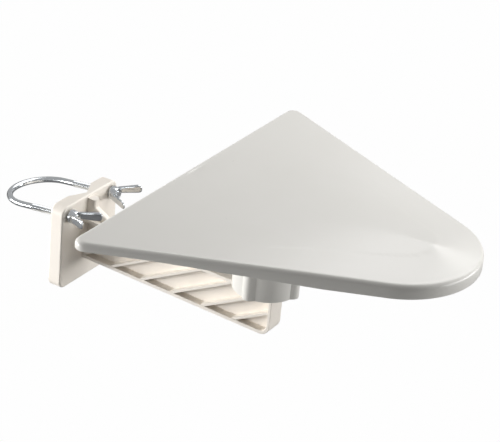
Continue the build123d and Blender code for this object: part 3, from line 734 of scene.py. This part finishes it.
# %% [markdown]
# ## Screws in the cover
#
# Six cross-headed screws hold the tray to the roof. One head is modelled: a domed disc
# with a cross pressed into it. Geometry Nodes stand a copy on each of six points, turn it
# by a random angle with a fixed seed, because no fitter stops them all alike, and make the
# copies real.

# %% Cover screws
screw_low, screw_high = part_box("cover_screws")
HEAD_RADIUS, HEAD_HEIGHT, SHAFT_RADIUS = 2.9, 2.0, 1.5


def screw_shape():
    """A pan-head screw with a cross recess, head down, its seat at the origin."""
    around = np.linspace(0, 2 * pi, 65)[:-1]
    arms = np.clip((np.abs(np.cos(2 * around)) - 0.72) / 0.2, 0, 1)
    profile = []
    length = (screw_high.z - screw_low.z) / MM - HEAD_HEIGHT
    for r, z in ((0.6, length), (1.2, length - 0.8), (SHAFT_RADIUS, length - 1.6), (SHAFT_RADIUS, 0.0),
                 (HEAD_RADIUS, 0.0), (HEAD_RADIUS, -0.7), (2.7, -1.3), (2.25, -1.75)):
        profile.append(np.column_stack([r * np.cos(around), r * np.sin(around), np.full(64, z)]))
    for r, z, deep in ((1.75, -HEAD_HEIGHT, 0.0), (1.5, -HEAD_HEIGHT, 0.9), (0.85, -HEAD_HEIGHT, 1.1)):
        profile.append(np.column_stack([r * np.cos(around), r * np.sin(around), z + deep * arms]))
    profile.append(np.column_stack([0.3 * np.cos(around), 0.3 * np.sin(around),
                                    np.full(64, -HEAD_HEIGHT + 1.2)]))
    return skin("screw_shape", profile, screw_steel)


def scatter_tree(finish, shape):
    """Geometry Nodes: a turned copy of a shape on every point of the input mesh."""
    tree = bpy.data.node_groups.new("stand_on_points", "GeometryNodeTree")
    face = tree.interface
    face.new_socket("Geometry", in_out="OUTPUT", socket_type="NodeSocketGeometry")
    face.new_socket("Points", in_out="INPUT", socket_type="NodeSocketGeometry")
    face.new_socket("Seed", in_out="INPUT", socket_type="NodeSocketInt").default_value = 7
    given = tree.nodes.new("NodeGroupInput").outputs
    turn = node(tree, "FunctionNodeRandomValue", {"data_type": "FLOAT"}, Seed=given["Seed"])
    turn.inputs[3].default_value = 2 * pi
    spin = node(tree, "ShaderNodeCombineXYZ", Z=turn.outputs[1])
    source = node(tree, "GeometryNodeObjectInfo", Object=shape)
    copies = node(tree, "GeometryNodeInstanceOnPoints", Points=given["Points"],
                  Instance=source.outputs["Geometry"], Rotation=spin.outputs[0])
    real = node(tree, "GeometryNodeRealizeInstances", Geometry=copies.outputs[0])
    dressed = node(tree, "GeometryNodeSetMaterial", Geometry=real.outputs[0], Material=finish)
    node(tree, "NodeGroupOutput", Geometry=dressed.outputs[0])
    return tree


def standing(name, places, shape, finish):
    """Plain mesh of one shape standing on each place, given in millimetres."""
    mesh = bpy.data.meshes.new(name)
    mesh.from_pydata([tuple(c * MM for c in place) for place in places], [], [])
    carrier = bpy.data.objects.new(name + "_points", mesh)
    bpy.context.scene.collection.objects.link(carrier)
    modifier = carrier.modifiers.new("stand", "NODES")
    modifier.node_group = scatter_tree(finish, shape)
    bpy.context.view_layer.update()
    seen = carrier.evaluated_get(bpy.context.evaluated_depsgraph_get())
    made = bpy.data.meshes.new_from_object(seen)
    bpy.data.objects.remove(carrier)
    bpy.data.objects.remove(shape)
    return wrap(name, made, finish)


seat = (screw_low.z / MM) + HEAD_HEIGHT
screws = standing("cross_screws", [(x, y, seat) for x, y in SCREW_PLACES], screw_shape(), screw_steel)
report(screws)
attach(screws, "antenna")
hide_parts("cover_screws")

# %% [markdown]
# ## Floor, light and camera
#
# The floor is a plain pale plane under the lowest edge of the plate. Two low strip lamps
# stand left and right, a weak one stands in front, and a large soft box hangs above and
# behind. Faces turned to either side are bright and edges turned to the camera stay darker.
# The backdrop is near white to the camera and dim as a lamp, and metal sees a brighter tent.

# %% Stage
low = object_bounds()[0]
FLOOR_GAP = 0.10
floor_mesh = bpy.data.meshes.new("floor")
reach = 6.0
floor_mesh.from_pydata([(-reach, -reach, 0), (reach, -reach, 0), (reach, reach, 0), (-reach, reach, 0)],
                       [], [(0, 1, 2, 3)])
floor_mesh.transform(Matrix.Translation((0, 0, low[2] - FLOOR_GAP)))
pale, tree, shader, place = start_material("pale_floor")
shader.inputs["Base Color"].default_value = linear("#8C8C8C")
shader.inputs["Roughness"].default_value = 0.9
seen = tree.nodes.new("ShaderNodeLightPath").outputs["Is Camera Ray"]
white = node(tree, "ShaderNodeEmission", Color=linear("#FEFEFE"), Strength=1.0)
blend = node(tree, "ShaderNodeMixShader", _0=seen, _1=shader.outputs["BSDF"], _2=white.outputs[0])
tree.links.new(blend.outputs[0], tree.nodes["Material Output"].inputs["Surface"])
floor_mesh.materials.append(pale)
floor = bpy.data.objects.new("floor", floor_mesh)
bpy.context.scene.collection.objects.link(floor)
floor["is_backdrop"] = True

world = bpy.data.worlds.new("studio")
bpy.context.scene.world = world
world.use_nodes = True
tree = world.node_tree
room = tree.nodes["Background"]
room.inputs["Color"].default_value = linear("#FFFFFF")
room.inputs["Strength"].default_value = 0.04
path = tree.nodes.new("ShaderNodeLightPath")
tent = node(tree, "ShaderNodeBackground", Color=linear("#FFFFFF"), Strength=0.55)
mirrored = node(tree, "ShaderNodeMixShader", _0=path.outputs["Is Glossy Ray"],
                _1=room.outputs[0], _2=tent.outputs[0])
backdrop = node(tree, "ShaderNodeBackground", Color=linear("#FEFEFE"), Strength=1.0)
blend = node(tree, "ShaderNodeMixShader", _0=path.outputs["Is Camera Ray"],
             _1=mirrored.outputs[0], _2=backdrop.outputs[0])
tree.links.new(blend.outputs[0], tree.nodes["World Output"].inputs["Surface"])


def lamp(name, place, aim, width, height, power):
    """A soft rectangular lamp at a place, aimed at a point."""
    data = bpy.data.lights.new(name, "AREA")
    data.shape = "RECTANGLE"
    data.size, data.size_y = width, height
    data.energy = power
    made = bpy.data.objects.new(name, data)
    bpy.context.scene.collection.objects.link(made)
    place, aim = Vector(place), Vector(aim)
    facing = (aim - place).to_track_quat("-Z", "Y").to_matrix().to_4x4()
    made.matrix_world = Matrix.Translation(place) @ facing
    return made


AIM = (0.17, 0.0, 0.02)
lamp("left_strip", (-0.95, -0.62, 0.02), AIM, 1.0, 0.3, 20.0)
lamp("right_strip", (1.25, 0.55, 0.02), AIM, 1.0, 0.3, 9.0)
lamp("front_strip", (-0.45, -1.05, 0.02), AIM, 1.0, 0.3, 3.0)
lamp("top_box", (0.30, 0.75, 1.15), AIM, 1.4, 1.4, 22.0)
bpy.context.scene.view_settings.view_transform = "Standard"
print("four lamps")

# %% [markdown]
# ## Camera
#
# A long lens from a little above, turned slightly, keeps the housing's edges nearly
# parallel. The view direction is given by its azimuth, elevation and roll.

# %% Camera
AZIMUTH, ELEVATION, ROLL = radians(29.524), radians(27.348), radians(5.421)
back = Vector((sin(AZIMUTH) * cos(ELEVATION), -cos(AZIMUTH) * cos(ELEVATION), sin(ELEVATION)))
level = Vector((cos(AZIMUTH), sin(AZIMUTH), 0))
rise = level.cross(-back)
right = cos(ROLL) * level + sin(ROLL) * rise
above = -sin(ROLL) * level + cos(ROLL) * rise
camera = bpy.data.objects.new("camera", bpy.data.cameras.new("camera"))
bpy.context.scene.collection.objects.link(camera)
camera.matrix_world = (Matrix.Translation((0.8942, -1.2383, 0.7757))
                       @ Matrix((right, above, back)).transposed().to_4x4())
camera.data.lens = 139.57
camera.data.sensor_width = 36.0
bpy.context.scene.camera = camera
print("lens", camera.data.lens, "mm")

# %% [markdown]
# ## Sizes
#
# The frame's box and the visual model's box are both printed in millimetres. The visual
# model has to stay inside the frame's box.

# %% Print the sizes
seen_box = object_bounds()
sizes = {"cad": [[float(v) for v in corner] for corner in cad_box],
         "visual": [[float(v) for v in corner] for corner in seen_box]}
for name, corners in sizes.items():
    print(name, [[round(v / MM, 2) for v in corner] for corner in corners])
